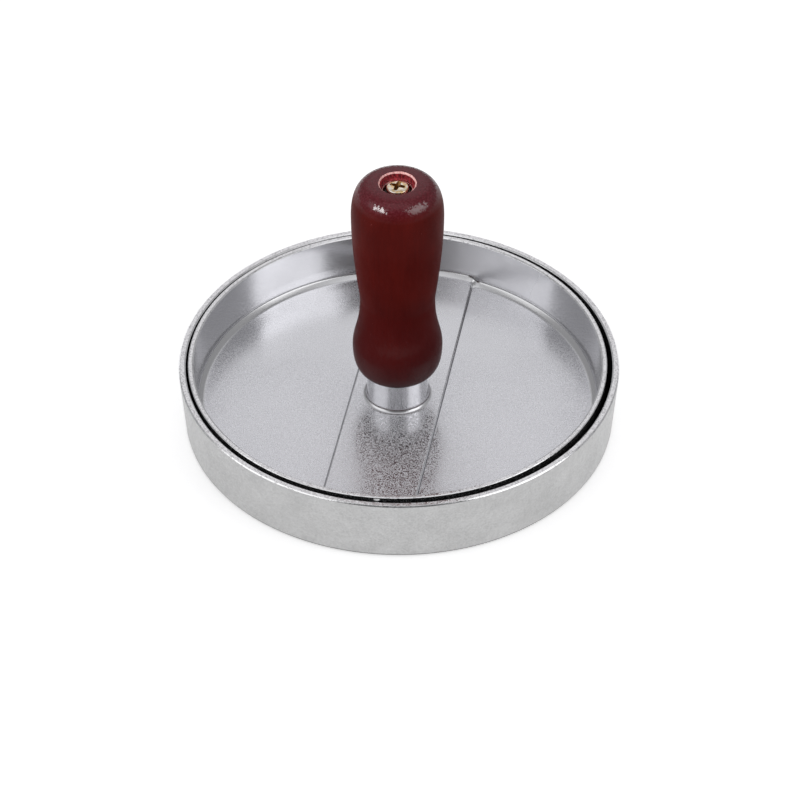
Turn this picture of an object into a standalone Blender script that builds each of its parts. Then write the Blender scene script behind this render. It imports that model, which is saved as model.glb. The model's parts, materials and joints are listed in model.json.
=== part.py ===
"""Patty press: a shallow cast pan, a dished plate that drops into it, and a turned wooden grip that one
long screw and a washer hold on the plate's boss. Metres, +Z up, origin under the middle of the pan."""

import math

import bmesh
import bpy
from mathutils import Matrix

MM = 0.001
GAP = 0.3 * MM  # air left between pieces that touch
EDGE = 0.25 * MM  # small bevel on machined rims

# Pan
PAN_RADIUS = 57.5 * MM
PAN_HEIGHT = 18.0 * MM
PAN_BASE_RADIUS = 56.2 * MM  # the outer wall is drafted, and narrows downwards
PAN_BASE_FILLET = 1.2 * MM
PAN_WALL = 1.8 * MM
PAN_DRAFT = 0.45 * MM  # how much the bore narrows down to the floor
PAN_FLOOR = 2.0 * MM
PAN_CORNER = 1.4 * MM

# Imprint ribs, the same on the pan's floor and under the plate
RIB_PITCH = 11.0 * MM
RIB_COUNT = 9
RIB_FIELD_RADIUS = 49.5 * MM
RIB_HEIGHT = 0.8 * MM
RIB_BASE_WIDTH = 2.6 * MM
RIB_TOP_WIDTH = 1.5 * MM
RIB_ROOT = 0.5 * MM  # how far a rib reaches into the sheet that carries it

# Press plate
PLATE_OFFSET = (-0.38 * MM, 0.12 * MM)  # the loose plate lies a little off the pan's middle
PLATE_CLEARANCE = 1.0 * MM
PLATE_UNDERSIDE = PAN_FLOOR + 2 * RIB_HEIGHT + GAP
PLATE_FLOOR = 5.6 * MM
PLATE_TOP = PAN_HEIGHT + 0.3 * MM
PLATE_RADIUS = PAN_RADIUS - PAN_WALL - PLATE_CLEARANCE
PLATE_RIM = 1.4 * MM
PLATE_SKIRT_DRAFT = 0.4 * MM
PLATE_BOTTOM_FILLET = 1.0 * MM
WELL_RADIUS = 52.5 * MM
WELL_CORNER = 1.4 * MM

# Raised band across the plate's floor, and the boss on it
BAND_TOP = 6.8 * MM
BAND_WIDTH = 23.6 * MM
BAND_TURN = math.radians(-10.1)
BAND_REACH = 53.2 * MM  # the band's ends run this far out, into the wall
BOSS_BASE_RADIUS = 8.1 * MM
BOSS_TOP_RADIUS = 7.7 * MM
BOSS_FILLET = 0.7 * MM
BOSS_TOP = 15.4 * MM

# Screw and washer
SCREW_RADIUS = 1.5 * MM
SCREW_LENGTH = 65.0 * MM
SCREW_HEAD_RADIUS = 2.85 * MM
SCREW_HEAD_HEIGHT = 2.0 * MM
SCREW_HEAD_SIDE = 1.0 * MM
SCREW_POINT = 0.4 * MM
TAPPED_HOLE_RADIUS = SCREW_RADIUS + GAP
RECESS_SPAN = 3.5 * MM
RECESS_SLOT = 0.8 * MM
RECESS_DEPTH = 1.3 * MM
RECESS_NARROWING = 0.45  # the recess's floor is this much of its mouth
RECESS_TURN = math.radians(-18.0)
WASHER_RADIUS = 3.5 * MM
WASHER_HOLE_RADIUS = 1.75 * MM
WASHER_THICKNESS = 0.45 * MM

# Grip
GRIP_SEAT = BOSS_TOP + GAP
GRIP_TOP = 75.55 * MM
GRIP_BORE_RADIUS = 1.9 * MM
GRIP_SEAT_RADIUS = 7.1 * MM
GRIP_LIP_RADIUS = 4.85 * MM
GRIP_LIP_BEVEL = 0.35 * MM
COUNTERBORE_DEPTH = 2.05 * MM
HEAD_POCKET_RADIUS = 3.75 * MM
HEAD_POCKET_DEPTH = 1.7 * MM
# The outline's stations: radius, height, and how far its curve handles reach down and up
LOWER_BULGE = (11.7 * MM, 24.0 * MM, 5.3 * MM, 4.2 * MM)
WAIST = (9.7 * MM, 39.0 * MM, 8.8 * MM, 1.8 * MM)
UPPER_BULGE = (11.85 * MM, 65.5 * MM, 12.5 * MM, 8.8 * MM)
SEAT_HANDLE = 3.4 * MM
CROWN_HANDLE = 3.9 * MM

POCKET_FLOOR = GRIP_TOP - COUNTERBORE_DEPTH - HEAD_POCKET_DEPTH
WASHER_BOTTOM = POCKET_FLOOR + GAP
HEAD_BOTTOM = WASHER_BOTTOM + WASHER_THICKNESS + GAP
SCREW_TIP = HEAD_BOTTOM - SCREW_LENGTH
TAPPED_HOLE_BOTTOM = SCREW_TIP - 0.4 * MM

# Segments round each turned piece, and along each stretch of a curved outline
DISH_SEGMENTS = 72
GRIP_SEGMENTS = 40
SCREW_SEGMENTS = 24
OUTLINE_STEPS = 6


def material(name, colour, roughness, metallic):
    """A Principled material of one colour."""
    made = bpy.data.materials.new(name)
    made.use_nodes = True
    shader = made.node_tree.nodes["Principled BSDF"]
    shader.inputs["Base Color"].default_value = (*colour, 1.0)
    shader.inputs["Roughness"].default_value = roughness
    shader.inputs["Metallic"].default_value = metallic
    return made


def arc(centre, radius, start, end, steps=4):
    """Points (radius, height) on an arc about centre, from start to end degrees."""
    angles = [math.radians(start + (end - start) * i / steps) for i in range(steps + 1)]
    return [(centre[0] + radius * math.cos(a), centre[1] + radius * math.sin(a)) for a in angles]


def curve(start, start_handle, end_handle, end, steps=OUTLINE_STEPS):
    """Points on a Bezier stretch, without its first point."""
    points = []
    for i in range(1, steps + 1):
        t = i / steps
        weights = ((1 - t) ** 3, 3 * t * (1 - t) ** 2, 3 * t * t * (1 - t), t ** 3)
        knots = (start, start_handle, end_handle, end)
        points.append(tuple(sum(w * k[axis] for w, k in zip(weights, knots)) for axis in (0, 1)))
    return points


def finished_mesh(bm, name):
    """Closes a bmesh into a mesh that faces out and is shaded smooth between its sharp edges."""
    bmesh.ops.recalc_face_normals(bm, faces=bm.faces)
    mesh = bpy.data.meshes.new(name)
    bm.to_mesh(mesh)
    bm.free()
    mesh.shade_smooth()
    mesh.set_sharp_from_angle(angle=math.radians(35.0))
    return mesh


def turned(name, profile, segments, closed=False):
    """A mesh turned about Z from (radius, height) points. An open profile starts and ends on the axis."""
    bm = bmesh.new()
    verts = [bm.verts.new((radius, 0.0, height)) for radius, height in profile]
    ends = verts[1:] + verts[:1] if closed else verts[1:]
    edges = [bm.edges.new(pair) for pair in zip(verts, ends)]
    bmesh.ops.spin(
        bm, geom=verts + edges, cent=(0, 0, 0), axis=(0, 0, 1), angle=math.tau, steps=segments, use_merge=True
    )
    bmesh.ops.remove_doubles(bm, verts=bm.verts, dist=1e-6)
    return finished_mesh(bm, name)


def prism(bm, outline, bottom, top, narrowing=1.0):
    """Adds a closed prism to bm over an (x, y) outline. Its bottom is the outline times narrowing."""
    lower = [bm.verts.new((x * narrowing, y * narrowing, bottom)) for x, y in outline]
    upper = [bm.verts.new((x, y, top)) for x, y in outline]
    bm.faces.new(lower)
    bm.faces.new(upper)
    for i in range(len(outline)):
        j = (i + 1) % len(outline)
        bm.faces.new((lower[i], lower[j], upper[j], upper[i]))


def placed(name, mesh, look=None, parent=None):
    """An object in the scene, with its material and under its parent's axis."""
    obj = bpy.data.objects.new(name, mesh)
    bpy.context.scene.collection.objects.link(obj)
    obj.parent = parent
    if look:
        mesh.materials.append(look)
    return obj


def combine(obj, helper, operation):
    """Joins a helper to obj, or cuts it out, with a Boolean that stays on obj."""
    helper.hide_render = True
    helper.display_type = "WIRE"
    boolean = obj.modifiers.new(helper.name, "BOOLEAN")
    boolean.operation = operation
    boolean.object = helper


def ribs(name, face, direction, along_x, parent=None):
    """Parallel bars that stand on a face at a height and fill a round field. direction is 1 up, -1 down."""
    bm = bmesh.new()
    for row in range(RIB_COUNT):
        across = (row - (RIB_COUNT - 1) / 2) * RIB_PITCH
        half_length = math.sqrt(RIB_FIELD_RADIUS ** 2 - across ** 2)
        section = (
            (RIB_BASE_WIDTH / 2, -RIB_ROOT),
            (RIB_BASE_WIDTH / 2, 0.0),
            (RIB_TOP_WIDTH / 2, RIB_HEIGHT),
            (-RIB_TOP_WIDTH / 2, RIB_HEIGHT),
            (-RIB_BASE_WIDTH / 2, 0.0),
            (-RIB_BASE_WIDTH / 2, -RIB_ROOT),
        )
        ends = []
        for x in (-half_length, half_length):
            ends.append([bm.verts.new((x, across + y, face + direction * z)) for y, z in section])
            bm.faces.new(ends[-1])
        for i in range(len(section)):
            j = (i + 1) % len(section)
            bm.faces.new((ends[0][i], ends[0][j], ends[1][j], ends[1][i]))
    if not along_x:
        bmesh.ops.rotate(bm, verts=bm.verts, cent=(0, 0, 0), matrix=Matrix.Rotation(math.pi / 2, 3, "Z"))
    return placed(name, finished_mesh(bm, name), parent=parent)


def rim(outer_radius, inner_radius, top):
    """The flat top of a wall, bevelled on both sides, from outside to inside."""
    return [
        (outer_radius, top - EDGE),
        (outer_radius - EDGE, top),
        (inner_radius + EDGE, top),
        (inner_radius, top - EDGE),
    ]


def base_pan():
    """The shallow pan: a drafted wall and a flat floor with ribs that mark the patty."""
    bore_radius = PAN_RADIUS - PAN_WALL
    base = (PAN_BASE_RADIUS - PAN_BASE_FILLET, PAN_BASE_FILLET)
    corner = (bore_radius - PAN_DRAFT - PAN_CORNER, PAN_FLOOR + PAN_CORNER)
    profile = [
        (0.0, 0.0),
        *arc(base, PAN_BASE_FILLET, -90, 0),
        *rim(PAN_RADIUS, bore_radius, PAN_HEIGHT),
        *arc(corner, PAN_CORNER, 0, -90),
        (0.0, PAN_FLOOR),
    ]
    pan = placed("base_pan", turned("base_pan", profile, DISH_SEGMENTS), CAST_ALUMINIUM)
    combine(pan, ribs("pan_ribs", PAN_FLOOR, 1, along_x=True), "UNION")


def band_outline():
    """The raised band seen from above: two straight sides, and ends that follow the wall."""
    half_angle = math.asin(BAND_WIDTH / 2 / BAND_REACH)
    points = []
    for side in (1, -1):
        for i in range(9):
            a = half_angle * (1 - i / 4) + BAND_TURN
            points.append((-side * BAND_REACH * math.sin(a), side * BAND_REACH * math.cos(a)))
    return points


def press_plate(axis):
    """The dished plate: wall, floor, the raised band and the boss with its tapped hole."""
    skirt = (PLATE_RADIUS - PLATE_SKIRT_DRAFT - PLATE_BOTTOM_FILLET, PLATE_UNDERSIDE + PLATE_BOTTOM_FILLET)
    corner = (WELL_RADIUS - WELL_CORNER, PLATE_FLOOR + WELL_CORNER)
    boss_foot = BOSS_BASE_RADIUS + BOSS_FILLET
    profile = [
        (0.0, PLATE_UNDERSIDE),
        *arc(skirt, PLATE_BOTTOM_FILLET, -90, 0),
        *rim(PLATE_RADIUS, PLATE_RADIUS - PLATE_RIM, PLATE_TOP),
        *arc(corner, WELL_CORNER, 0, -90),
        (boss_foot, PLATE_FLOOR),
        *arc((boss_foot, BAND_TOP + BOSS_FILLET), BOSS_FILLET, -90, -180, steps=3),
        (BOSS_TOP_RADIUS, BOSS_TOP - EDGE),
        (BOSS_TOP_RADIUS - EDGE, BOSS_TOP),
        (TAPPED_HOLE_RADIUS, BOSS_TOP),
        (TAPPED_HOLE_RADIUS, TAPPED_HOLE_BOTTOM),
        (0.0, TAPPED_HOLE_BOTTOM - TAPPED_HOLE_RADIUS / 2),
    ]
    plate = placed("press_plate", turned("press_plate", profile, DISH_SEGMENTS), PLATE_ALUMINIUM, axis)
    bm = bmesh.new()
    prism(bm, band_outline(), PLATE_FLOOR - RIB_ROOT, BAND_TOP)
    band = placed("plate_band", finished_mesh(bm, "plate_band"), parent=axis)
    combine(plate, band, "UNION")
    combine(plate, ribs("plate_ribs", PLATE_UNDERSIDE, -1, along_x=False, parent=axis), "UNION")


def grip_outline():
    """The grip's side from its seat on the boss up to the lip of the counterbore."""
    points = [(GRIP_SEAT_RADIUS, GRIP_SEAT)]
    start = points[0]
    start_handle = (GRIP_SEAT_RADIUS + SEAT_HANDLE, GRIP_SEAT)
    for radius, height, down, up in (LOWER_BULGE, WAIST, UPPER_BULGE):
        points += curve(start, start_handle, (radius, height - down), (radius, height))
        start = (radius, height)
        start_handle = (radius, height + up)
    lip = (GRIP_LIP_RADIUS, GRIP_TOP)
    return points + curve(start, start_handle, (GRIP_LIP_RADIUS + CROWN_HANDLE, GRIP_TOP), lip)


def handle_grip(axis):
    """The turned grip, with a through bore and a stepped pocket for the screw's head and its washer."""
    ledge = GRIP_TOP - COUNTERBORE_DEPTH
    wall_radius = GRIP_LIP_RADIUS - GRIP_LIP_BEVEL
    profile = [
        *grip_outline(),
        (wall_radius, GRIP_TOP - GRIP_LIP_BEVEL),
        (wall_radius, ledge),
        (HEAD_POCKET_RADIUS, ledge),
        (HEAD_POCKET_RADIUS, POCKET_FLOOR),
        (GRIP_BORE_RADIUS, POCKET_FLOOR),
        (GRIP_BORE_RADIUS, GRIP_SEAT),
    ]
    placed("handle_grip", turned("handle_grip", profile, GRIP_SEGMENTS, closed=True), LACQUERED_WOOD, axis)


def cross_outline():
    """The mouth of the screw's cross recess."""
    reach = RECESS_SPAN / 2
    half = RECESS_SLOT / 2
    points = []
    for quarter in range(4):
        a = quarter * math.pi / 2 + RECESS_TURN
        for x, y in ((reach, -half), (reach, half), (half, half)):
            points.append((x * math.cos(a) - y * math.sin(a), x * math.sin(a) + y * math.cos(a)))
    return points


def handle_screw(axis):
    """The long pan-head screw with its cross recess."""
    top = HEAD_BOTTOM + SCREW_HEAD_HEIGHT
    shoulder = HEAD_BOTTOM + SCREW_HEAD_SIDE
    rounding = 0.85 * (top - shoulder)
    profile = [
        (0.0, SCREW_TIP),
        (SCREW_RADIUS - SCREW_POINT, SCREW_TIP),
        (SCREW_RADIUS, SCREW_TIP + SCREW_POINT),
        (SCREW_RADIUS, HEAD_BOTTOM),
        (SCREW_HEAD_RADIUS, HEAD_BOTTOM),
        *arc((SCREW_HEAD_RADIUS - rounding, shoulder), rounding, 0, 90),
        (0.0, top),
    ]
    screw = placed("handle_screw", turned("handle_screw", profile, SCREW_SEGMENTS), GILT_STEEL, axis)
    bm = bmesh.new()
    prism(bm, cross_outline(), top - RECESS_DEPTH, top + EDGE, RECESS_NARROWING)
    combine(screw, placed("cross_recess", finished_mesh(bm, "cross_recess"), parent=axis), "DIFFERENCE")


def screw_washer(axis):
    """The flat washer between the screw's head and the wood."""
    top = WASHER_BOTTOM + WASHER_THICKNESS
    profile = [
        (WASHER_RADIUS, top),
        (WASHER_RADIUS, WASHER_BOTTOM),
        (WASHER_HOLE_RADIUS, WASHER_BOTTOM),
        (WASHER_HOLE_RADIUS, top),
    ]
    placed("screw_washer", turned("screw_washer", profile, SCREW_SEGMENTS, closed=True), ZINC_STEEL, axis)


for old in list(bpy.data.objects):
    bpy.data.objects.remove(old)

CAST_ALUMINIUM = material("cast_aluminium", (0.68, 0.69, 0.68), 0.38, 1.0)
PLATE_ALUMINIUM = material("plate_aluminium", (0.74, 0.74, 0.76), 0.32, 1.0)
LACQUERED_WOOD = material("lacquered_wood", (0.105, 0.008, 0.009), 0.28, 0.0)
GILT_STEEL = material("gilt_steel", (0.83, 0.60, 0.33), 0.25, 1.0)
ZINC_STEEL = material("zinc_steel", (0.55, 0.53, 0.50), 0.35, 1.0)

press_axis = placed("press_axis", None)
press_axis.location = (*PLATE_OFFSET, 0.0)

base_pan()
press_plate(press_axis)
handle_grip(press_axis)
handle_screw(press_axis)
screw_washer(press_axis)
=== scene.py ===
"""The patty press's looks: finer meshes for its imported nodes, their materials, and a plain studio."""

import json
import math

import bmesh
import bpy
from mathutils import Matrix, Vector, noise


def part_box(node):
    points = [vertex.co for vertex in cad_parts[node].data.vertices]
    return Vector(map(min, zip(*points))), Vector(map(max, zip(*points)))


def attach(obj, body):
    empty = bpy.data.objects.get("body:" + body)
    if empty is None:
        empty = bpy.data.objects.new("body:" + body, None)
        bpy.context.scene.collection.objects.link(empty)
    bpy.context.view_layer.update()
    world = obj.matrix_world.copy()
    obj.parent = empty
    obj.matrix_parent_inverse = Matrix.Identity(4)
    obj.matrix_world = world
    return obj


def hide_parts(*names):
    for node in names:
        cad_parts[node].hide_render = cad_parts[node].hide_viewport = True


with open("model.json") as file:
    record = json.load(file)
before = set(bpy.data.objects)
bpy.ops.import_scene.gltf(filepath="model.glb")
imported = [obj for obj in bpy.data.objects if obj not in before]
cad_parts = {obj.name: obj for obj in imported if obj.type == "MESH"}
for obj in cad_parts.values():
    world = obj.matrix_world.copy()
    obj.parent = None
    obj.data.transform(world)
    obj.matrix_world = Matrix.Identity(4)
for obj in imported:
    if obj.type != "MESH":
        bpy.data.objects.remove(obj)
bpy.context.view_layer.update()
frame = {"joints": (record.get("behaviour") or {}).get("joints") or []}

MM = 0.001

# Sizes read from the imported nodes
PAN_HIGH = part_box("base_pan")[1]
PLATE_LOW, PLATE_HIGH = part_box("press_plate")
GRIP_LOW, GRIP_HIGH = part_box("handle_grip")
SCREW_LOW, SCREW_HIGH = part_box("handle_screw")
WASHER_LOW, WASHER_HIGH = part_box("screw_washer")
TURN_AXIS = Vector(next(j["pos_m"] for j in frame["joints"] if j["name"] == "press_turn"))

# Pan
PAN_RADIUS = PAN_HIGH.x
PAN_HEIGHT = PAN_HIGH.z
PAN_BASE_RADIUS = PAN_RADIUS - 1.3 * MM
PAN_BASE_FILLET = 1.2 * MM
PAN_BORE = PAN_RADIUS - 1.8 * MM
PAN_FLOOR = 2.0 * MM
PAN_FLOOR_RADIUS = PAN_BORE - 0.45 * MM
PAN_CORNER = 1.4 * MM
PAN_OUTER_BEVEL = 0.35 * MM
PAN_OUTER_CORNER = 0.15 * MM

# Imprint ribs
RIB_PITCH = 11.0 * MM
RIB_COUNT = 9
RIB_FIELD_RADIUS = 49.5 * MM
RIB_HEIGHT = 0.8 * MM
RIB_BASE_WIDTH = 2.6 * MM
RIB_TOP_WIDTH = 1.5 * MM
RIB_ROOT = 0.5 * MM
RIB_CORNER = 0.3 * MM
RIB_END_RUN = 0.6 * MM

# Faced rims: the run and drop of the bevel, its corner radius, and how far below the rim's height a stretch
# may lie that counts as level, and the lower and the upper end of one that counts as a bevel
RIM_BEVEL = (0.40 * MM, 0.24 * MM)
RIM_CORNER = 0.1 * MM
RIM_LEVEL_WITHIN = 0.02 * MM
BEVEL_LOW_WITHIN = 0.45 * MM
BEVEL_HIGH_WITHIN = 0.3 * MM

# Plate
PLATE_RADIUS = PLATE_HIGH.x - TURN_AXIS.x
PLATE_TOP = PAN_HEIGHT + 0.3 * MM
PLATE_UNDERSIDE = PLATE_LOW.z + RIB_HEIGHT
PLATE_RIM = 1.4 * MM
# The bevel outside the rim, as a share of the one inside it
PLATE_OUTER_BEVEL = 0.6
PLATE_OUTER_CORNER = 0.08 * MM
PLATE_SKIRT = PLATE_RADIUS - 0.4 * MM
SKIRT_CORNER = 1.0 * MM
PLATE_FLOOR = 5.6 * MM
WELL_RADIUS = 52.5 * MM

# The slope between the plate's floor and its wall
BEVEL_RUN = 1.45 * MM
BEVEL_RISE = 1.0 * MM
BEVEL_FOOT_RADIUS = 1.5 * MM
BEVEL_HEAD_RADIUS = 0.9 * MM
FLOOR_EDGE = WELL_RADIUS - BEVEL_RUN - 0.6 * MM

# The band across the plate's floor. Its sides lean out a little, and soften where they meet the wall
BAND_TOP = 6.8 * MM
BAND_HALF = 11.8 * MM
BAND_TURN = math.radians(-10.1)
STEP_HEAD = BAND_HALF - 0.03 * MM
STEP_FOOT = BAND_HALF + 0.06 * MM
STEP_REACH = 0.6 * MM
STEP_HEAD_RADIUS = 0.26 * MM
STEP_FOOT_RADIUS = 0.12 * MM
SOFTENED_WIDTH = 2.6 * MM
SOFTENING_RUN = 1.2 * MM
WALL_START = BAND_TOP + BEVEL_RISE + 1.4 * MM

# Boss, which fills a square hole in the floor's grid
BOSS_TOP = PLATE_HIGH.z
BOSS_BASE_RADIUS = 8.1 * MM
BOSS_TOP_RADIUS = 7.7 * MM
BOSS_FILLET = 1.4 * MM
TAPPED_HOLE_RADIUS = 1.8 * MM
TAPPED_HOLE_BOTTOM = SCREW_LOW.z - 0.4 * MM
BOSS_FOOT_REACH = 1.6 * MM
BOSS_HOLE_HALF = 10.9 * MM

# Grip
GRIP_SEAT = GRIP_LOW.z
GRIP_TOP = GRIP_HIGH.z
GRIP_SEAT_RADIUS = 7.1 * MM
GRIP_LIP_RADIUS = 4.85 * MM
GRIP_BORE_RADIUS = 1.9 * MM
LIP_BEVEL = 0.35 * MM
LEDGE = GRIP_TOP - 2.05 * MM
POCKET_RADIUS = 3.75 * MM
POCKET_FLOOR = WASHER_LOW.z - 0.3 * MM
# Each swelling and the waist: radius, height, and the lengths of the curve's handles below and above it
LOWER_BULGE = (11.7 * MM, 24.0 * MM, 5.3 * MM, 4.2 * MM)
WAIST = (9.7 * MM, 39.0 * MM, 8.8 * MM, 1.8 * MM)
UPPER_BULGE = (11.85 * MM, 65.5 * MM, 12.5 * MM, 8.8 * MM)
SEAT_HANDLE = 3.4 * MM
CROWN_HANDLE = 3.9 * MM

# Torn pale wood reaches a little way down from the lip. About the edge of the ledge,
# the same pale wood is a painted highlight
TORN_LIP_DEPTH = 0.4 * MM
LEDGE_HIGHLIGHT_HEIGHT = 0.3 * MM
LEDGE_HIGHLIGHT_WIDTH = 0.12 * MM

# The lip is ragged above this height and inside this radius, and the bore is raw wood above its height
RAGGED_FROM = LEDGE + 1.0 * MM
RAGGED_RADIUS = GRIP_LIP_RADIUS + 0.8 * MM
RAGGED_PER_METRE = 900.0
RAGGED_DEPTH = 0.16 * MM
BORE_FROM = GRIP_SEAT + 1.0 * MM

# Screw and washer
SCREW_RADIUS = 1.5 * MM
HEAD_RADIUS = 2.85 * MM
HEAD_BOTTOM = SCREW_HIGH.z - 2.0 * MM
HEAD_EDGE_DROP = 0.35 * MM
HEAD_DOME_RADIUS = HEAD_RADIUS * 0.6
HEAD_DOME_DROP = 0.03 * MM
SCREW_TIP_BEVEL = 0.4 * MM
RECESS_TURN = math.radians(-18.0)
RECESS_REACH = 1.95 * MM
RECESS_HALF = 0.47 * MM
RECESS_ROOT = 0.60 * MM
RECESS_DEPTH = 1.4 * MM
RECESS_CONE = 0.35 * MM
WASHER_BORE = 1.75 * MM

# Where the plate's coat is chipped and where its wall is duller, in degrees from +X
CHIP_TURN = -95.5
WORN_WALL_TURN = 66.0

# Camera. It stands back from a point on the upright axis, at CAMERA_CENTRE_HEIGHT, and looks at CAMERA_AIM
CAMERA_DISTANCE = 958.0 * MM
CAMERA_ELEVATION = 39.35
CAMERA_CENTRE_HEIGHT = 19.2 * MM
CAMERA_AIM = Vector((0.25, 0.0, 4.5)) * MM
CAMERA_LENS = 165.2

# Studio: the room's even glow, its soft panels (azimuth, elevation, inner angle, outer angle, added glow),
# the floor, and the area lights (name, azimuth, elevation, size, glow). Angles are in degrees
ROOM_GLOW = 0.37
ROOM_PANELS = (
    (90, 40, 12, 33, 0.42),
    (-90, 40, 15, 60, -0.22),
    (-90, 80, 12, 32, 0.62),
)
FLOOR_SIZE = 4.0
LIGHT_DISTANCE = 1.2
ROOM_LIGHTS = (
    ("right_box", -25, 42, (0.88, 0.75), 1.20),
    ("left_strip", 203, 40, (1.10, 0.8), 0.84),
)
GRIP_LIGHTS = (
    ("left_key", 215, 40, (0.60, 0.36), 22.0),
    ("right_key", -30, 38, (0.95, 0.80), 3.8),
)

# Mesh steps
DISH_SEGMENTS = 240
GRIP_SEGMENTS = 120
SCREW_SEGMENTS = 72
FLOOR_COLUMNS = 160
FLOOR_ROWS = 100
SHARP_ANGLE = math.radians(40.0)
# A step too small to see, which keeps neighbouring points of an outline apart
SLIVER = 0.01 * MM

# Material slots of the pan and the plate, of the grip, and of the screw's recess
BARE, COATED, RIM, EDGE = 0, 1, 2, 3
SKIN, BORE, LIP_AND_LEDGE_HIGHLIGHT = 0, 1, 2
RECESSED = 1


# ---------------------------------------------------------------- directions and outlines

def towards(azimuth, elevation):
    """A unit vector. Azimuth is in degrees from +X towards +Y."""
    a, e = math.radians(azimuth), math.radians(elevation)
    return Vector((math.cos(a) * math.cos(e), math.sin(a) * math.cos(e), math.sin(e)))


def rounded(corners, steps=5, hold=0.2 * MM):
    """Points of an outline whose corners are (x, y, radius).
    A long straight stretch gets a point near each end, so that its smooth shading stays flat."""
    points = []
    for i, (x, y, radius) in enumerate(corners):
        here = Vector((x, y))
        if not radius:
            points.append(here)
            continue
        before = (Vector(corners[i - 1][:2]) - here).normalized()
        after = (Vector(corners[(i + 1) % len(corners)][:2]) - here).normalized()
        half = before.angle(after) / 2
        reach = radius / math.tan(half)
        centre = here + (before + after).normalized() * (radius / math.sin(half))
        start = here + before * reach - centre
        turn = start.angle_signed(here + after * reach - centre)
        for k in range(steps + 1):
            points.append(centre + Matrix.Rotation(-turn * k / steps, 2) @ start)
    held = [points[0]]
    for a, b in zip(points, points[1:]):
        along = b - a
        if along.length > 5 * hold:
            step = along.normalized() * hold
            held += [a + step, b - step]
        held.append(b)
    return [tuple(p) for p in held]


def curve(start, start_handle, end_handle, end, steps=18):
    """Points on a Bezier stretch, without its first point."""
    points = []
    for i in range(1, steps + 1):
        t = i / steps
        weights = ((1 - t) ** 3, 3 * t * (1 - t) ** 2, 3 * t * t * (1 - t), t ** 3)
        knots = (start, start_handle, end_handle, end)
        points.append(tuple(sum(w * k[axis] for w, k in zip(weights, knots)) for axis in (0, 1)))
    return points


# ---------------------------------------------------------------- meshes

def loop_of(bm, points):
    return [bm.verts.new(p) for p in points]


def bridge(bm, a, b, slot=0):
    """Quads between two closed loops with the same number of points."""
    for i in range(len(a)):
        j = (i + 1) % len(a)
        bm.faces.new((a[i], a[j], b[j], b[i])).material_index = slot


def cap(bm, loop, centre, slot=0):
    """A fan that closes a loop at a centre point."""
    middle = bm.verts.new(centre)
    for i in range(len(loop)):
        bm.faces.new((loop[i], loop[(i + 1) % len(loop)], middle)).material_index = slot


def ring(bm, radius, height, angles):
    return loop_of(bm, [(radius * math.cos(a), radius * math.sin(a), height) for a in angles])


def turned(outline, segments, closed=False, slot_at=lambda start, end: 0):
    """A bmesh turned about Z from (radius, height) points. An open outline starts and ends on the axis.
    slot_at gives the material slot between two points."""
    bm = bmesh.new()
    angles = [math.tau * i / segments for i in range(segments)]
    inner = outline if closed else outline[1:-1]
    rings = [ring(bm, r, z, angles) for r, z in inner]
    pairs = list(zip(inner, inner[1:])) + ([(inner[-1], inner[0])] if closed else [])
    for i, (p, q) in enumerate(pairs):
        bridge(bm, rings[i], rings[(i + 1) % len(rings)], slot_at(p, q))
    if not closed:
        cap(bm, rings[0], (0, 0, outline[0][1]), slot_at(outline[0], outline[1]))
        cap(bm, rings[-1], (0, 0, outline[-1][1]), slot_at(outline[-2], outline[-1]))
    return bm


def spin(bm, angle):
    """Turns a bmesh about Z."""
    bmesh.ops.rotate(bm, verts=bm.verts, cent=(0, 0, 0), matrix=Matrix.Rotation(angle, 3, "Z"))


def shift(bm, centre):
    """Moves a bmesh sideways, so that its axis stands at the centre."""
    bmesh.ops.translate(bm, verts=bm.verts, vec=(centre[0], centre[1], 0.0))


def fill(bm, slot):
    """Gives all faces one material slot."""
    for face in bm.faces:
        face.material_index = slot


def smooth(mesh):
    mesh.shade_smooth()
    mesh.set_sharp_from_angle(angle=SHARP_ANGLE)


def piece(name, bm, body, node, looks, centre=(0, 0)):
    """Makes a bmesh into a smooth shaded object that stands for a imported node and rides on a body."""
    bmesh.ops.recalc_face_normals(bm, faces=bm.faces)
    shift(bm, centre)
    mesh = bpy.data.meshes.new(name)
    bm.to_mesh(mesh)
    bm.free()
    for look in looks:
        mesh.materials.append(look)
    smooth(mesh)
    obj = bpy.data.objects.new(name, mesh)
    bpy.context.scene.collection.objects.link(obj)
    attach(obj, body)
    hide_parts(node)
    return obj


def boolean(obj, bm, operation):
    """Joins a closed bmesh to an object, or cuts it out, and keeps the result as the object's own mesh."""
    bmesh.ops.recalc_face_normals(bm, faces=bm.faces)
    mesh = bpy.data.meshes.new("helper")
    bm.to_mesh(mesh)
    bm.free()
    for look in obj.data.materials:
        mesh.materials.append(look)
    helper = bpy.data.objects.new("helper", mesh)
    bpy.context.scene.collection.objects.link(helper)
    cutter = obj.modifiers.new("join", "BOOLEAN")
    cutter.operation = operation
    cutter.object = helper
    cutter.solver = "EXACT"
    graph = bpy.context.evaluated_depsgraph_get()
    result = bpy.data.meshes.new_from_object(obj.evaluated_get(graph), depsgraph=graph)
    obj.modifiers.remove(cutter)
    bpy.data.objects.remove(helper)
    result.name = obj.name
    obj.data = result
    smooth(obj.data)


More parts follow.
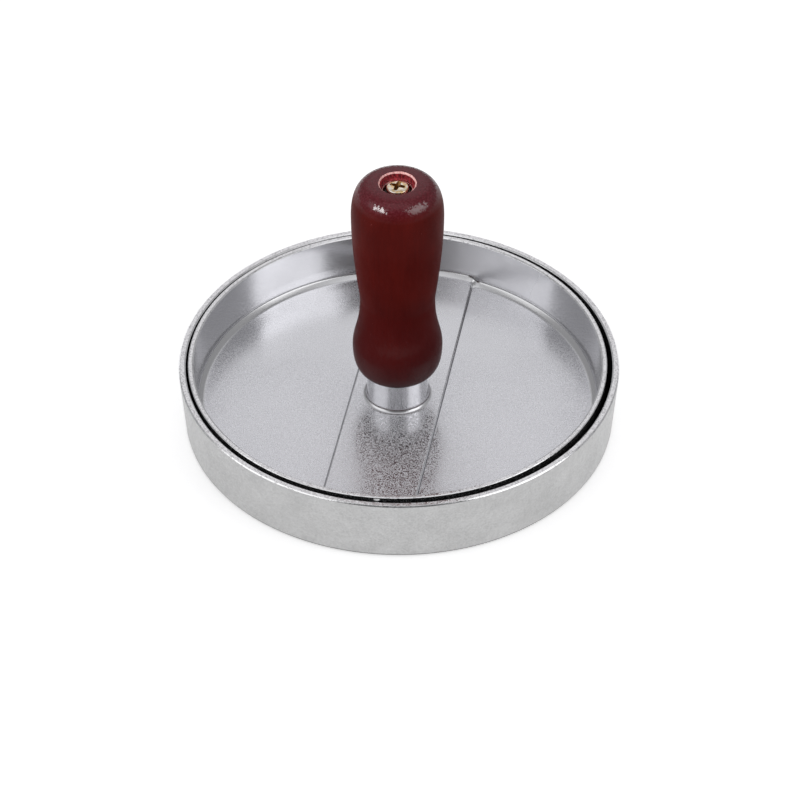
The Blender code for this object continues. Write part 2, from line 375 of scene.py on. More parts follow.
def ribs(level, direction, along_x, centre=(0, 0)):
    """Parallel bars with rounded tops that stand on a face at this level. direction is 1 up, -1 down."""
    bm = bmesh.new()
    half_base, half_top = RIB_BASE_WIDTH / 2, RIB_TOP_WIDTH / 2
    section = rounded(
        [
            (half_base, -RIB_ROOT, 0),
            (half_base, 0.0, 0),
            (half_top, RIB_HEIGHT, RIB_CORNER),
            (-half_top, RIB_HEIGHT, RIB_CORNER),
            (-half_base, 0.0, 0),
            (-half_base, -RIB_ROOT, 0),
        ],
        hold=1.0 * MM,
    )
    for row in range(RIB_COUNT):
        across = (row - (RIB_COUNT - 1) / 2) * RIB_PITCH
        half_length = math.sqrt(RIB_FIELD_RADIUS ** 2 - across ** 2)
        ends = []
        for side in (-1, 1):
            points = []
            for y, z in section:
                along = half_length - RIB_END_RUN * max(z, 0) / RIB_HEIGHT
                points.append((side * along, across + y, level + direction * z))
            ends.append(loop_of(bm, points))
            bm.faces.new(ends[-1])
        bridge(bm, ends[0], ends[1])
    if not along_x:
        spin(bm, math.pi / 2)
    shift(bm, centre)
    fill(bm, COATED)
    return bm


def rim_slot(start, end, top, otherwise):
    """The slot for a stretch of outline: the rim at this height, a bevel beside it, or another slot."""
    low, high = sorted((start[1], end[1]))
    if low > top - RIM_LEVEL_WITHIN:
        return RIM
    beside_rim = low > top - BEVEL_LOW_WITHIN and high > top - BEVEL_HIGH_WITHIN
    return EDGE if beside_rim else otherwise


def middle_of(start, end):
    return (start[0] + end[0]) / 2, (start[1] + end[1]) / 2


def pan_piece():
    run, drop = RIM_BEVEL
    outline = rounded(
        [
            (0.0, PAN_FLOOR, 0),
            (PAN_FLOOR_RADIUS, PAN_FLOOR, PAN_CORNER),
            (PAN_BORE, PAN_HEIGHT - drop, RIM_CORNER),
            (PAN_BORE + run, PAN_HEIGHT, RIM_CORNER),
            (PAN_RADIUS - PAN_OUTER_BEVEL, PAN_HEIGHT, PAN_OUTER_CORNER),
            (PAN_RADIUS, PAN_HEIGHT - PAN_OUTER_BEVEL, PAN_OUTER_CORNER),
            (PAN_BASE_RADIUS, 0.0, PAN_BASE_FILLET),
            (0.0, 0.0, 0),
        ]
    )

    def slot_at(start, end):
        radius, height = middle_of(start, end)
        coated = height > PAN_FLOOR / 2 and radius < PAN_BORE + SLIVER
        return rim_slot(start, end, PAN_HEIGHT, COATED if coated else BARE)

    bm = turned(outline, DISH_SEGMENTS, slot_at=slot_at)
    looks = [PAN_METAL, PAN_COAT, RIM_METAL, EDGE_METAL]
    pan = piece("pan_shell", bm, "pan", "base_pan", looks)
    boolean(pan, ribs(PAN_FLOOR, 1, along_x=True), "UNION")


def band_step():
    """Points (distance across, height) down one side of the band, from its top to the plate's floor."""
    return rounded(
        [
            (BAND_HALF - STEP_REACH, BAND_TOP, 0),
            (STEP_HEAD, BAND_TOP, STEP_HEAD_RADIUS),
            (STEP_FOOT, PLATE_FLOOR, STEP_FOOT_RADIUS),
            (BAND_HALF + STEP_REACH, PLATE_FLOOR, 0),
        ],
        hold=1.0 * MM,
    )


def softened_band(across):
    """The floor's height where the band's steps are smoothed out, as they are up against the wall."""
    on_band = min(1.0, max(0.0, (BAND_HALF + SOFTENED_WIDTH / 2 - abs(across)) / SOFTENED_WIDTH))
    return PLATE_FLOOR + (BAND_TOP - PLATE_FLOOR) * on_band * on_band * (3 - 2 * on_band)


def floor_columns():
    """(distance across, height) of each column of the plate's floor, from one side to the other."""
    step = band_step()
    off_step = STEP_REACH + 0.2 * MM
    columns = []
    for i in range(1, FLOOR_COLUMNS):
        across = FLOOR_EDGE * math.sin(math.pi * (i / FLOOR_COLUMNS - 0.5))
        if abs(abs(across) - BAND_HALF) > off_step:
            columns.append((across, BAND_TOP if abs(across) < BAND_HALF else PLATE_FLOOR))
    for side in (-1, 1):
        columns += [(side * across, height) for across, height in step]
    return sorted(columns)


def floor_grid(bm):
    """The vertices of the plate's round floor, in columns along the band."""
    columns = floor_columns()
    ends = (0, len(columns) - 1)
    grid = []
    for i, (across, height) in enumerate(columns):
        half = math.sqrt(FLOOR_EDGE ** 2 - across ** 2)
        line = []
        for j in range(FLOOR_ROWS + 1):
            along = half * math.sin(math.pi / 2 * (2 * j / FLOOR_ROWS - 1))
            x = math.copysign(math.sqrt(FLOOR_EDGE ** 2 - along ** 2), across) if i in ends else across
            line.append(bm.verts.new((x, along, height)))
        grid.append(line)
    return grid


def around(grid, left, right, low, high):
    """The vertices round a rectangle of the grid, as one closed loop."""
    loop = [grid[i][low] for i in range(left, right)]
    loop += [grid[right][j] for j in range(low, high)]
    loop += [grid[i][high] for i in range(right, left, -1)]
    loop += [grid[left][j] for j in range(high, low, -1)]
    return loop


def angles_of(loop):
    return [math.atan2(v.co.y, v.co.x) for v in loop]


def grow(bm, loop, outline, angles, slot_at=lambda start, end: BARE):
    """Joins a loop to rings at (radius, height) points, one after another, and returns the last ring."""
    start = outline[0]
    for end in outline:
        following = ring(bm, *end, angles)
        bridge(bm, loop, following, slot_at(start, end))
        loop, start = following, end
    return loop


def plate_floor(bm):
    """The plate's floor and band, with the boss grown out of the middle. Returns the floor's outer loop."""
    grid = floor_grid(bm)
    last = len(grid) - 1
    half_way = FLOOR_ROWS // 2
    near = [i for i in range(last) if abs(grid[i][half_way].co.x) < BOSS_HOLE_HALF]
    left, right = near[0], near[-1]
    near = [j for j in range(FLOOR_ROWS) if abs(grid[left][j].co.y) < BOSS_HOLE_HALF]
    low, high = near[0], near[-1]
    for i in range(last):
        for j in range(FLOOR_ROWS):
            if not (left <= i < right and low <= j < high):
                bm.faces.new((grid[i][j], grid[i + 1][j], grid[i + 1][j + 1], grid[i][j + 1]))
    boss = rounded(
        [
            (BOSS_BASE_RADIUS + BOSS_FOOT_REACH, BAND_TOP, 0),
            (BOSS_BASE_RADIUS, BAND_TOP, BOSS_FILLET),
            (BOSS_TOP_RADIUS, BOSS_TOP, 0.3 * MM),
            (TAPPED_HOLE_RADIUS, BOSS_TOP, 0.25 * MM),
            (TAPPED_HOLE_RADIUS, TAPPED_HOLE_BOTTOM, 0),
            (0.0, TAPPED_HOLE_BOTTOM - TAPPED_HOLE_RADIUS / 2, 0),
        ]
    )
    hole = around(grid, left, right, low, high)
    tip = grow(bm, hole, boss[:-1], angles_of(hole))
    cap(bm, tip, (0, 0, boss[-1][1]))
    return around(grid, 0, last, 0, FLOOR_ROWS)


def plate_slope(bm, loop, angles):
    """The slope at the foot of the wall. It starts from the floor's edge, so it follows the band's steps.
    Returns its last loop."""
    slope = rounded(
        [
            (FLOOR_EDGE, 0.0, 0),
            (WELL_RADIUS - BEVEL_RUN, 0.0, BEVEL_FOOT_RADIUS),
            (WELL_RADIUS, BEVEL_RISE, BEVEL_HEAD_RADIUS),
            (WELL_RADIUS + SLIVER, BEVEL_RISE + BEVEL_HEAD_RADIUS, 0),
        ],
        steps=6,
    )
    floors = [v.co.z for v in loop]
    softened = [softened_band(v.co.x) for v in loop]
    for radius, lift in slope[1:]:
        share = min(1.0, (radius - FLOOR_EDGE) / SOFTENING_RUN)
        points = []
        for angle, floor, soft in zip(angles, floors, softened):
            height = floor + (soft - floor) * share + lift
            points.append((radius * math.cos(angle), radius * math.sin(angle), height))
        following = loop_of(bm, points)
        bridge(bm, loop, following)
        loop = following
    return loop


def plate_wall(bm, loop, angles):
    """The inner wall, the rim, the coated skirt and the underside."""
    run, drop = RIM_BEVEL
    inner = PLATE_RADIUS - PLATE_RIM
    wall = rounded(
        [
            (WELL_RADIUS + 2 * SLIVER, WALL_START, 0),
            (inner - SLIVER, PLATE_TOP - drop, RIM_CORNER),
            (inner + run, PLATE_TOP, RIM_CORNER),
            (PLATE_RADIUS - PLATE_OUTER_BEVEL * run, PLATE_TOP, PLATE_OUTER_CORNER),
            (PLATE_RADIUS, PLATE_TOP - PLATE_OUTER_BEVEL * drop, PLATE_OUTER_CORNER),
            (PLATE_SKIRT, PLATE_UNDERSIDE, SKIRT_CORNER),
            (0.0, PLATE_UNDERSIDE, 0),
        ]
    )

    def slot_at(start, end):
        radius, height = middle_of(start, end)
        coated = radius > PLATE_RADIUS - PLATE_RIM / 2 or height < PLATE_FLOOR
        return rim_slot(start, end, PLATE_TOP, COATED if coated else BARE)

    last = grow(bm, loop, wall[:-1], angles, slot_at)
    cap(bm, last, (0, 0, PLATE_UNDERSIDE), COATED)


def plate_piece():
    """The dished plate is one skin that grows from its floor, over the wall and rim, to its underside."""
    bm = bmesh.new()
    loop = plate_floor(bm)
    angles = angles_of(loop)
    loop = plate_slope(bm, loop, angles)
    plate_wall(bm, loop, angles)
    spin(bm, BAND_TURN)
    looks = [PLATE_METAL, PLATE_COAT, RIM_METAL, EDGE_METAL]
    plate = piece("plate_dish", bm, "press", "press_plate", looks, TURN_AXIS)
    boolean(plate, ribs(PLATE_UNDERSIDE, -1, along_x=False, centre=TURN_AXIS), "UNION")


def grip_outline():
    """The outside of the grip, as Bezier stretches from its seat to the lip of its counterbore."""
    points = [(GRIP_SEAT_RADIUS, GRIP_SEAT)]
    start = points[0]
    start_handle = (GRIP_SEAT_RADIUS + SEAT_HANDLE, GRIP_SEAT)
    for radius, height, down, up in (LOWER_BULGE, WAIST, UPPER_BULGE):
        points += curve(start, start_handle, (radius, height - down), (radius, height))
        start = (radius, height)
        start_handle = (radius, height + up)
    lip = (GRIP_LIP_RADIUS, GRIP_TOP)
    return points + curve(start, start_handle, (GRIP_LIP_RADIUS + CROWN_HANDLE, GRIP_TOP), lip)


def roughen_lip(bm):
    """Makes the drilled lip a little ragged, where the lacquer broke away."""
    for vert in bm.verts:
        radius = math.hypot(vert.co.x, vert.co.y)
        if vert.co.z > RAGGED_FROM and radius < RAGGED_RADIUS:
            ragged = noise.noise(vert.co * RAGGED_PER_METRE) * RAGGED_DEPTH
            vert.co.x += ragged * vert.co.x / radius
            vert.co.y += ragged * vert.co.y / radius


def grip_piece():
    bore_radius = GRIP_LIP_RADIUS - LIP_BEVEL
    inside = rounded(
        [
            (GRIP_LIP_RADIUS, GRIP_TOP, 0),
            (bore_radius, GRIP_TOP - LIP_BEVEL, 0.15 * MM),
            (bore_radius, LEDGE, 0.25 * MM),
            (POCKET_RADIUS, LEDGE, 0.15 * MM),
            (POCKET_RADIUS, POCKET_FLOOR, 0.15 * MM),
            (GRIP_BORE_RADIUS, POCKET_FLOOR, 0),
            (GRIP_BORE_RADIUS, GRIP_SEAT, 0),
        ],
        steps=4,
    )

    def slot_at(start, end):
        radius, height = middle_of(start, end)
        if radius >= GRIP_LIP_RADIUS or height <= BORE_FROM:
            return SKIN
        on_lip = height > GRIP_TOP - TORN_LIP_DEPTH
        # About the edge of the ledge, the pale lip wood is a painted highlight
        by_ledge = abs(height - LEDGE) < LEDGE_HIGHLIGHT_HEIGHT
        by_pocket = radius < POCKET_RADIUS + LEDGE_HIGHLIGHT_WIDTH
        return LIP_AND_LEDGE_HIGHLIGHT if on_lip or (by_ledge and by_pocket) else BORE

    bm = turned(grip_outline() + inside[1:], GRIP_SEGMENTS, closed=True, slot_at=slot_at)
    roughen_lip(bm)
    looks = [LACQUER, BORE_WOOD, LIP_WOOD_AND_LEDGE_HIGHLIGHT]
    piece("grip_wood", bm, "press", "handle_grip", looks, TURN_AXIS)


def cross_recess():
    """A closed tapered cross with rounded arm roots, for cutting the recess."""
    bm = bmesh.new()
    top = SCREW_HIGH.z
    floor = top - RECESS_DEPTH
    loops = []
    # Each layer has a height and a share of the cross's full size
    for height, scale in ((top + 0.4 * MM, 1.12), (top - 0.1 * MM, 1.0), (floor, 0.42)):
        reach, half, root = RECESS_REACH * scale, RECESS_HALF * scale, RECESS_ROOT * scale
        shoulder, nose = reach * 0.94, half * 0.6
        arm = ((shoulder, -half), (reach, -nose), (reach, nose), (shoulder, half), (root, root))
        points = []
        for quarter in range(4):
            a = quarter * math.pi / 2 + RECESS_TURN
            for x, y in arm:
                turned_x = x * math.cos(a) - y * math.sin(a)
                turned_y = x * math.sin(a) + y * math.cos(a)
                points.append((turned_x, turned_y, height))
        loops.append(loop_of(bm, points))
    for a, b in zip(loops, loops[1:]):
        bridge(bm, a, b)
    bm.faces.new(loops[0])
    cap(bm, loops[-1], (0, 0, floor - RECESS_CONE))
    shift(bm, TURN_AXIS)
    fill(bm, RECESSED)
    return bm


def screw_piece():
    top = SCREW_HIGH.z
    outline = rounded(
        [
            (0.0, SCREW_LOW.z, 0),
            (SCREW_RADIUS - SCREW_TIP_BEVEL, SCREW_LOW.z, 0),
            (SCREW_RADIUS, SCREW_LOW.z + SCREW_TIP_BEVEL, 0),
            (SCREW_RADIUS, HEAD_BOTTOM, 0),
            (HEAD_RADIUS, HEAD_BOTTOM, 0.12 * MM),
            (HEAD_RADIUS, top - HEAD_EDGE_DROP, 0.45 * MM),
            (HEAD_DOME_RADIUS, top - HEAD_DOME_DROP, 1.5 * MM),
            (0.0, top, 0),
        ],
        steps=8,
    )
    bm = turned(outline, SCREW_SEGMENTS)
    screw = piece("screw_gilt", bm, "press", "handle_screw", [GILT, RECESS_PAINTED_SHADE], TURN_AXIS)
    boolean(screw, cross_recess(), "DIFFERENCE")


def washer_piece():
    outer = WASHER_HIGH.x - TURN_AXIS.x
    outline = rounded(
        [
            (outer, WASHER_HIGH.z, 0.1 * MM),
            (outer, WASHER_LOW.z, 0.1 * MM),
            (WASHER_BORE, WASHER_LOW.z, 0.06 * MM),
            (WASHER_BORE, WASHER_HIGH.z, 0.06 * MM),
        ],
        steps=3,
    )
    bm = turned(outline, SCREW_SEGMENTS, closed=True)
    piece("washer_zinc", bm, "lift", "screw_washer", [ZINC_WITH_PAINTED_SHADE], TURN_AXIS)


# ---------------------------------------------------------------- materials

def grey(value):
    return (value, value, value)


class Look:
    """One node material. Most methods add nodes to it and return an output."""

    def __init__(self, name, **values):
        self.material = bpy.data.materials.new(name)
        self.material.use_nodes = True
        self.tree = self.material.node_tree
        self.shader = self.tree.nodes["Principled BSDF"]
        self.place = self.add("ShaderNodeTexCoord").outputs["Object"]
        self.set(**values)

    def set(self, **values):
        for name, value in values.items():
            self.put(self.shader.inputs[name.replace("_", " ")], value)

    def put(self, socket, value):
        if isinstance(value, bpy.types.NodeSocket):
            self.tree.links.new(value, socket)
        else:
            socket.default_value = (*value, 1.0) if socket.type == "RGBA" else value

    def add(self, kind, **inputs):
        node = self.tree.nodes.new(kind)
        for name, value in inputs.items():
            self.put(node.inputs[name.replace("_", " ")], value)
        return node

    def scaled_place(self, sizes):
        """The object's own coordinates, counted in these sizes in metres along X, Y and Z."""
        scale = [1 / size for size in sizes]
        return self.add("ShaderNodeMapping", Vector=self.place, Scale=scale).outputs[0]

    def noise(self, size, detail=2.0, roughness=0.5, stretch=(1, 1, 1)):
        """Noise with blobs of about this size in metres, longer along an axis whose stretch is over 1."""
        place = self.scaled_place([size * s for s in stretch])
        made = self.add("ShaderNodeTexNoise", Vector=place, Scale=1.0, Detail=detail, Roughness=roughness)
        return made.outputs["Fac"]

    def cells(self, size):
        """A random colour for each cell of about this size in metres."""
        place = self.scaled_place([size] * 3)
        return self.add("ShaderNodeTexVoronoi", Vector=place, Scale=1.0).outputs["Color"]

    def channels(self, colour):
        """A colour's Red, Green and Blue, which are three random numbers if the colour is from cells()."""
        return self.add("ShaderNodeSeparateColor", Color=colour).outputs

    def vector(self, operation, a, b=None):
        node = self.tree.nodes.new("ShaderNodeVectorMath")
        node.operation = operation
        self.put(node.inputs[0], a)
        if b is not None:
            self.put(node.inputs["Scale" if operation == "SCALE" else 1], b)
        return node.outputs["Value" if operation in ("DOT_PRODUCT", "DISTANCE") else "Vector"]

    def dot(self, vector, axis):
        return self.vector("DOT_PRODUCT", vector, axis)

    def normal(self):
        return self.add("ShaderNodeNewGeometry").outputs["Normal"]

    def facing_up(self, low, high):
        """0 to 1 as the height of the unit normal goes from low to high. That height is 1 on a level face
        and 0 on an upright one."""
        height = self.add("ShaderNodeSeparateXYZ", Vector=self.normal()).outputs["Z"]
        return self.remap(height, low, high)

    def tipped(self, cells, slope):
        """The normal, tipped a random way in each cell, over this range of slopes."""
        tip = self.vector("SCALE", self.vector("SUBTRACT", cells, (0.5, 0.5, 0.5)), slope)
        return self.vector("NORMALIZE", self.vector("ADD", self.normal(), tip))

    def remap(self, value, low, high, to_low=0.0, to_high=1.0):
        node = self.add("ShaderNodeMapRange", Value=value)
        for name, limit in (("From Min", low), ("From Max", high), ("To Min", to_low), ("To Max", to_high)):
            node.inputs[name].default_value = limit
        return node.outputs["Result"]

    def math(self, operation, a, b=0.0):
        node = self.tree.nodes.new("ShaderNodeMath")
        node.operation = operation
        self.put(node.inputs[0], a)
        self.put(node.inputs[1], b)
        return node.outputs[0]

    def chain(self, operation, values):
        """Joins the values two by two, from the first on."""
        result = values[0]
        for value in values[1:]:
            result = self.math(operation, result, value)
        return result

    def product(self, *values):
        return self.chain("MULTIPLY", values)

    def total(self, *values):
        return self.chain("ADD", values)

    def mix(self, factor, a, b):
        node = self.tree.nodes.new("ShaderNodeMix")
        node.data_type = "RGBA"
        self.put(node.inputs[0], factor)
        self.put(node.inputs[6], a)
        self.put(node.inputs[7], b)
        return node.outputs[2]

    def bump(self, height, depth, normal=None):
        """height is 0 to 1, and depth is in metres."""
        node = self.add("ShaderNodeBump", Height=height, Strength=1.0, Distance=depth)
        if normal is not None:
            self.tree.links.new(normal, node.inputs["Normal"])
        return node.outputs["Normal"]

    def axes(self):
        return self.add("ShaderNodeSeparateXYZ", Vector=self.place).outputs

    def radius(self):
        """Distance from the object's upright axis."""
        place = self.axes()
        squares = [self.math("POWER", place[axis], 2) for axis in "XY"]
        return self.math("SQRT", self.total(*squares))


def pan_metal_look():
    """Blasted aluminium: dull, with a fine even grain and a painted contact shadow along the foot of the
    wall.
    """
    look = Look("pan_metal", Metallic=1.0)
    grain = look.cells(0.42 * MM)
    chance = look.channels(grain)
    blotch = look.remap(look.noise(8 * MM, detail=6.0, roughness=0.7), 0.36, 0.64, 0.0, 0.6)
    tone = look.total(blotch, look.product(chance["Green"], 0.4))
    foot = look.remap(look.axes()["Z"], 1.0 * MM, 0.6 * MM, 0.0, 0.9)
    outside = look.remap(look.radius(), PAN_BASE_RADIUS - 1.0 * MM, PAN_BASE_RADIUS - 0.5 * MM)
    # Painted contact shadow: a dark band along the bottom edge of the outside
    painted_contact_shadow = look.product(foot, outside)
    look.set(
        Base_Color=look.mix(painted_contact_shadow, look.mix(tone, grey(0.46), grey(0.56)), grey(0.06)),
        Roughness=look.remap(chance["Red"], 0.2, 0.8, 0.38, 0.55),
        Normal=look.tipped(grain, 0.10),
    )
    return look.material


def band_step_shade(look, height, radius):
    """Painted shade: 1 on a thin line along the foot of each step of the band, and less near the wall."""
    across_axis = Vector((math.cos(BAND_TURN), math.sin(BAND_TURN), 0.0))
    across = look.math("SUBTRACT", look.dot(look.place, across_axis), TURN_AXIS.dot(across_axis))
    right = look.math("ABSOLUTE", look.math("SUBTRACT", across, BAND_HALF + 0.10 * MM))
    left = look.math("ABSOLUTE", look.math("ADD", across, BAND_HALF + 0.40 * MM))
    return look.product(
        look.remap(look.math("MINIMUM", right, left), 0.24 * MM, 0.08 * MM),
        look.remap(height, PLATE_FLOOR + 0.35 * MM, PLATE_FLOOR + 0.15 * MM),
        look.remap(radius, 51 * MM, 45 * MM, 0.2, 1.0),
    )


def plate_metal_look():
    """Cast aluminium. The floor and the band are a fine patchwork of polished and dull grains, which is
    smoother towards the back. The fillets are satin, and the wall is polished but for one worn stretch.
    The band's steps are pale and dull, with a thin line of painted shade along the foot of each."""
    look = Look("plate_metal", Metallic=1.0)
    height = look.axes()["Z"]
    radius = look.radius()
    level = look.facing_up(0.93, 0.99)
    upright = look.facing_up(0.3, 0.1)
    fillet = look.product(look.facing_up(0.35, 0.75), look.facing_up(0.995, 0.95))
    wall_fillet = look.product(fillet, look.remap(radius, 20 * MM, 30 * MM))
    step_face = look.product(
        upright,
        look.remap(radius, 54 * MM, 51 * MM),
        look.remap(radius, 10.5 * MM, 11.5 * MM),
        look.remap(height, BAND_TOP + 0.2 * MM, BAND_TOP),
    )
    out_at_worn_side = look.dot(look.place, towards(WORN_WALL_TURN, 0))
    worn_side = look.product(look.remap(out_at_worn_side, 47 * MM, 51 * MM), upright)

    grain = look.cells(0.18 * MM)
    smoother_behind = look.remap(look.axes()["Y"], 8 * MM, 26 * MM, 1.0, 0.2)
    dull = look.product(look.remap(look.channels(grain)["Red"], 0.34, 0.44), smoother_behind)
    blotch = look.noise(12 * MM, detail=4.0)
    fine = look.noise(0.5 * MM, detail=2.0)

    face = look.mix(dull, (0.725, 0.725, 0.75), (0.95, 0.95, 0.98))
    wall = look.mix(look.remap(blotch, 0.35, 0.65), (0.73, 0.73, 0.75), (0.78, 0.78, 0.80))
    colour = look.mix(level, wall, face)
    colour = look.mix(wall_fillet, colour, (0.66, 0.66, 0.67))
    colour = look.mix(step_face, colour, (0.97, 0.97, 0.99))
    # Painted shade: a thin dark line along the foot of each step
    colour = look.mix(band_step_shade(look, height, radius), colour, (0.26, 0.26, 0.275))

    skin = look.total(
        look.product(level, 0.07),
        look.product(fillet, look.remap(radius, 20 * MM, 30 * MM, 0.14, 0.09)),
        look.product(worn_side, 0.22),
        look.product(step_face, 0.35),
    )
    polish = look.remap(blotch, 0.3, 0.7, 0.17, 0.11)
    look.set(
        Base_Color=colour,
        Roughness=look.total(polish, skin, look.product(dull, level, 0.42)),
        Normal=look.bump(fine, 0.0015 * MM, look.tipped(grain, look.product(level, 0.012))),
    )
    return look.material


def rim_look():
    """Faced on a lathe: bright, with fine rings and small bright and dark nicks."""
    look = Look("rim_metal", Metallic=1.0)
    ring_place = look.add("ShaderNodeCombineXYZ", X=look.product(look.radius(), 1 / (0.16 * MM))).outputs[0]
    rings = look.add("ShaderNodeTexNoise", Vector=ring_place, Scale=1.0, Detail=1.0).outputs["Fac"]
    facets = look.cells(0.35 * MM)
    chance = look.channels(facets)
    bright = look.remap(chance["Green"], 0.1, 0.5)
    look.set(
        Base_Color=look.mix(bright, (0.66, 0.65, 0.66), (0.95, 0.94, 0.95)),
        Roughness=look.remap(chance["Red"], 0.2, 0.9, 0.26, 0.44),
        Normal=look.bump(rings, 0.012 * MM, look.tipped(facets, 0.26)),
    )
    return look.material


def edge_look():
    """The bevels beside a faced rim: bright metal with small nicks."""
    look = Look("edge_metal", Metallic=1.0)
    nick = look.remap(look.noise(0.9 * MM, detail=3.0), 0.56, 0.64)
    look.set(
        Base_Color=look.mix(nick, (0.93, 0.93, 0.94), (0.62, 0.62, 0.63)),
        Roughness=look.remap(look.noise(3 * MM), 0.3, 0.7, 0.12, 0.24),
        Normal=look.bump(look.noise(0.7 * MM), 0.02 * MM),
    )
    return look.material


def coat_look(name, rim_height, chipped_at=(0, 0, 0)):
    """Black non-stick coat with a pebbled skin, rubbed to grey flecks towards the rim. It is chipped to the
    metal about one spot. The origin stands for no chip, because it lies below every coated face."""
    look = Look(name)
    near_rim = look.remap(look.axes()["Z"], rim_height - 3.5 * MM, rim_height)
    pebble = look.noise(0.45 * MM, detail=2.0)
    fleck = look.total(look.noise(0.3 * MM, detail=1.0), look.product(near_rim, 0.06))
    coat = look.mix(look.remap(fleck, 0.60, 0.68), (0.010, 0.010, 0.011), (0.17, 0.17, 0.175))
    away = look.vector("DISTANCE", look.place, chipped_at)
    ragged = look.product(look.noise(0.5 * MM), 0.5 * MM)
    chip = look.remap(look.total(away, ragged), 1.15 * MM, 0.95 * MM)
    # The chip's normal leans up, so that the bared metal catches the light
    lean = look.add("ShaderNodeCombineXYZ", Z=look.product(chip, 1.2)).outputs[0]
    slanted = look.vector("NORMALIZE", look.vector("ADD", look.normal(), lean))
    look.set(
        Base_Color=look.mix(chip, coat, grey(0.95)),
        Metallic=chip,
        Roughness=look.remap(pebble, 0.3, 0.7, 0.32, 0.5),
        Normal=look.bump(pebble, 0.03 * MM, slanted),
    )
    return look.material


def lacquer_look():
    """Dark red stain under lacquer: full and glossy on the crown, rubbed thin where the hand holds it.
    The crown's bluer tint and pale mottling are painted sheen.
    """
    look = Look("lacquer", Roughness=0.5, Specular_IOR_Level=0.03, Coat_Roughness=0.11, Coat_IOR=1.5)
    height = look.axes()["Z"]
    crown = look.product(look.facing_up(0.25, 0.65), look.remap(height, 58 * MM, 66 * MM))
    heel = look.remap(height, 38 * MM, 18 * MM)
    below_waist = look.remap(height, 46 * MM, 28 * MM, 0.0, 0.6)
    cloud = look.noise(9 * MM, detail=3.0, stretch=(1, 1, 1.6))
    streak = look.noise(0.8 * MM, detail=3.0, stretch=(1, 1, 16))
    skin = look.noise(0.55 * MM, detail=3.0, roughness=0.6)
    tone = look.total(look.remap(cloud, 0.3, 0.7, 0.0, 0.72), look.remap(streak, 0.3, 0.7, 0.0, 0.28))
    # Painted sheen: pale mottling on the crown
    painted_crown_sheen = look.product(crown, look.remap(skin, 0.45, 0.62, 0.0, 0.12))
    worn = look.remap(look.noise(0.6 * MM, detail=2.0), 0.78, 0.82)
    colour = look.mix(tone, (0.034, 0.0018, 0.0014), (0.057, 0.0033, 0.0022))
    colour = look.mix(below_waist, colour, (0.030, 0.0030, 0.0036))
    # Painted sheen: the crown's bluer red stands for a cool reflection
    colour = look.mix(crown, colour, (0.043, 0.0012, 0.0036))
    colour = look.mix(painted_crown_sheen, colour, (0.22, 0.06, 0.075))
    colour = look.mix(worn, colour, (0.42, 0.13, 0.14))
    gloss = look.total(
        look.product(crown, look.remap(skin, 0.35, 0.6, 0.74, 0.50)),
        look.product(heel, 0.30),
        look.remap(cloud, 0.3, 0.7, 0.01, 0.035),
    )
    skin_normal = look.tipped(look.cells(0.32 * MM), look.remap(crown, 0.0, 1.0, 0.05, 0.17))
    look.set(Base_Color=colour, Coat_Weight=gloss, Normal=skin_normal, Coat_Normal=skin_normal)
    return look.material


def raw_wood_look(name, dark, pale):
    """Drilled wood with stain soaked into its open grain."""
    look = Look(name, Roughness=0.6, Specular_IOR_Level=0.2)
    grain = look.noise(0.4 * MM, detail=4.0, stretch=(1, 1, 2.5))
    look.set(
        Base_Color=look.mix(look.remap(grain, 0.35, 0.65), dark, pale),
        Normal=look.bump(grain, 0.05 * MM),
    )
    return look.material


def plated_look(name, colour, dark, roughness):
    """Plated steel with small stains and drawing marks.
    On the gilt head the near-white patches are painted highlights.
    """
    look = Look(name, Metallic=1.0)
    stains_and_painted_highlights = look.noise(0.9 * MM, detail=3.0)
    look.set(
        Base_Color=look.mix(look.remap(stains_and_painted_highlights, 0.42, 0.62), colour, dark),
        Roughness=look.remap(stains_and_painted_highlights, 0.3, 0.7, roughness, roughness + 0.12),
        Normal=look.bump(look.noise(0.12 * MM, detail=2.0), 0.004 * MM),
    )
    return look.material


def floor_look():
    """A white light table, lit a little from below so that shadows stay faint."""
    look = Look("light_table", Base_Color=grey(0.80), Roughness=0.9, Specular_IOR_Level=0.0)
    look.set(Emission_Color=grey(1.0), Emission_Strength=0.60)
    return look.material


PAN_METAL = pan_metal_look()
PLATE_METAL = plate_metal_look()
RIM_METAL = rim_look()
EDGE_METAL = edge_look()
PAN_COAT = coat_look("pan_coat", PAN_HEIGHT)
CHIP = TURN_AXIS + towards(CHIP_TURN, 0) * PLATE_RADIUS + Vector((0.0, 0.0, PLATE_TOP - 0.4 * MM))
PLATE_COAT = coat_look("plate_coat", PLATE_TOP, CHIP)
LACQUER = lacquer_look()
BORE_WOOD = raw_wood_look("bore_wood", (0.045, 0.003, 0.004), (0.24, 0.022, 0.028))
# Pale wood: torn wood on the lip, and a painted highlight about the ledge's edge
LIP_WOOD_AND_LEDGE_HIGHLIGHT = raw_wood_look("lip_wood_and_ledge_highlight", (0.34, 0.14, 0.135), (0.58, 0.35, 0.33))
# Painted highlight: the near-white end of the gilt's stains
GILT = plated_look("gilt", (0.98, 0.90, 0.80), (0.80, 0.56, 0.28), 0.14)
# Painted shade: the cross recess is coloured dark brown
RECESS_PAINTED_SHADE = plated_look("gilt_recess_painted_shade", (0.42, 0.22, 0.08), (0.10, 0.05, 0.02), 0.3)
# The washer's zinc is darkened as painted shade in the pocket under the head
ZINC_WITH_PAINTED_SHADE = plated_look("zinc", (0.16, 0.155, 0.15), (0.09, 0.088, 0.085), 0.35)

pan_piece()
plate_piece()
grip_piece()
screw_piece()
washer_piece()


# ---------------------------------------------------------------- studio

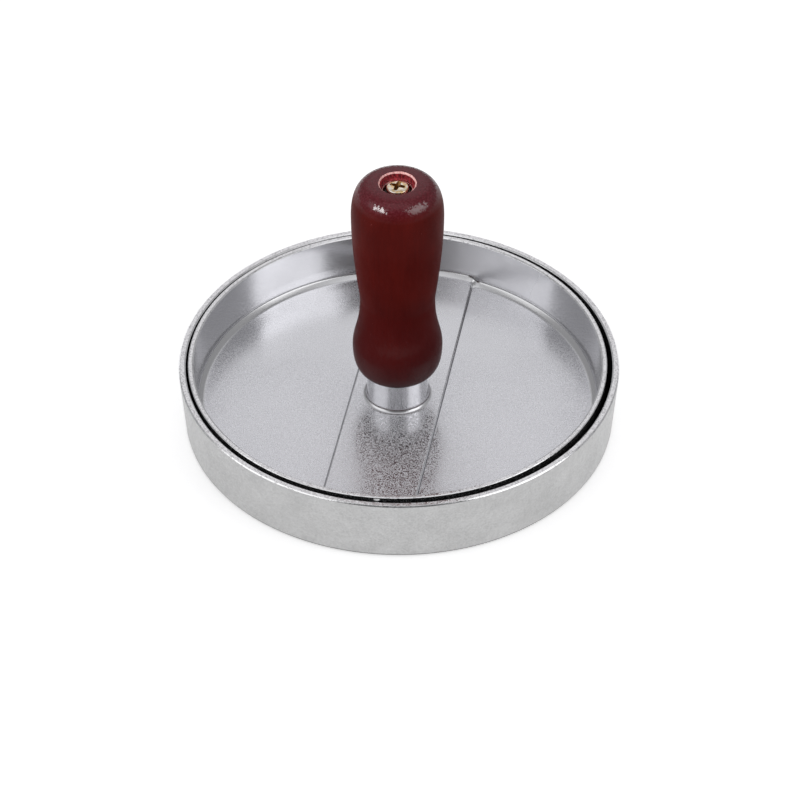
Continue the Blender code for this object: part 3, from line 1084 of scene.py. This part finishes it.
def studio_floor():
    """The plain white table that the press stands on."""
    bm = bmesh.new()
    bmesh.ops.create_grid(bm, x_segments=8, y_segments=8, size=FLOOR_SIZE)
    mesh = bpy.data.meshes.new("floor")
    bm.to_mesh(mesh)
    bm.free()
    mesh.materials.append(floor_look())
    obj = bpy.data.objects.new("floor", mesh)
    bpy.context.scene.collection.objects.link(obj)


def softbox(name, azimuth, elevation, size, glow):
    """An area light that looks at the press, as bright as a surface of that radiance."""
    data = bpy.data.lights.new(name, "AREA")
    data.shape = "RECTANGLE"
    data.size, data.size_y = size
    data.energy = glow * math.pi * size[0] * size[1]
    obj = bpy.data.objects.new(name, data)
    obj.visible_camera = False
    bpy.context.scene.collection.objects.link(obj)
    away = towards(azimuth, elevation)
    obj.location = away * LIGHT_DISTANCE
    obj.rotation_euler = away.to_track_quat("Z", "Y").to_euler()
    return obj


def room():
    """The world: an even grey, brighter or darker where one of the soft panels is."""
    world = bpy.data.worlds.new("studio")
    bpy.context.scene.world = world
    world.use_nodes = True
    tree = world.node_tree
    direction = tree.nodes.new("ShaderNodeTexCoord").outputs["Generated"]
    total = None
    for azimuth, elevation, inner, outer, glow in ROOM_PANELS:
        facing = tree.nodes.new("ShaderNodeVectorMath")
        facing.operation = "DOT_PRODUCT"
        tree.links.new(direction, facing.inputs[0])
        facing.inputs[1].default_value = towards(azimuth, elevation)
        spread = tree.nodes.new("ShaderNodeMapRange")
        spread.interpolation_type = "SMOOTHSTEP"
        tree.links.new(facing.outputs["Value"], spread.inputs["Value"])
        spread.inputs["From Min"].default_value = math.cos(math.radians(outer))
        spread.inputs["From Max"].default_value = math.cos(math.radians(inner))
        spread.inputs["To Max"].default_value = glow
        added = tree.nodes.new("ShaderNodeMath")
        tree.links.new(spread.outputs["Result"], added.inputs[0])
        if total is None:
            added.inputs[1].default_value = ROOM_GLOW
        else:
            tree.links.new(total, added.inputs[1])
        total = added.outputs[0]
    background = tree.nodes["Background"]
    background.inputs["Color"].default_value = (0.98, 0.98, 1.0, 1.0)
    tree.links.new(total, background.inputs["Strength"])


def camera():
    """A long lens at the photograph's angle, without shift or roll."""
    data = bpy.data.cameras.new("camera")
    data.lens = CAMERA_LENS
    data.sensor_width = 36.0
    data.clip_start, data.clip_end = 0.01, 20.0
    obj = bpy.data.objects.new("camera", data)
    bpy.context.scene.collection.objects.link(obj)
    back = towards(-90, CAMERA_ELEVATION)
    obj.location = Vector((0.0, 0.0, CAMERA_CENTRE_HEIGHT)) + back * CAMERA_DISTANCE
    away = obj.location - CAMERA_AIM
    obj.rotation_mode = "QUATERNION"
    obj.rotation_quaternion = away.to_track_quat("Z", "Y")
    bpy.context.scene.camera = obj


studio_floor()
room()
for light in ROOM_LIGHTS:
    softbox(*light)

# The keys light the grip alone, for the highlights on its crown
grip_alone = bpy.data.collections.new("grip_alone")
grip_alone.objects.link(bpy.data.objects["grip_wood"])
for light in GRIP_LIGHTS:
    softbox(*light).light_linking.receiver_collection = grip_alone
camera()
bpy.context.scene.view_settings.view_transform = "Standard"
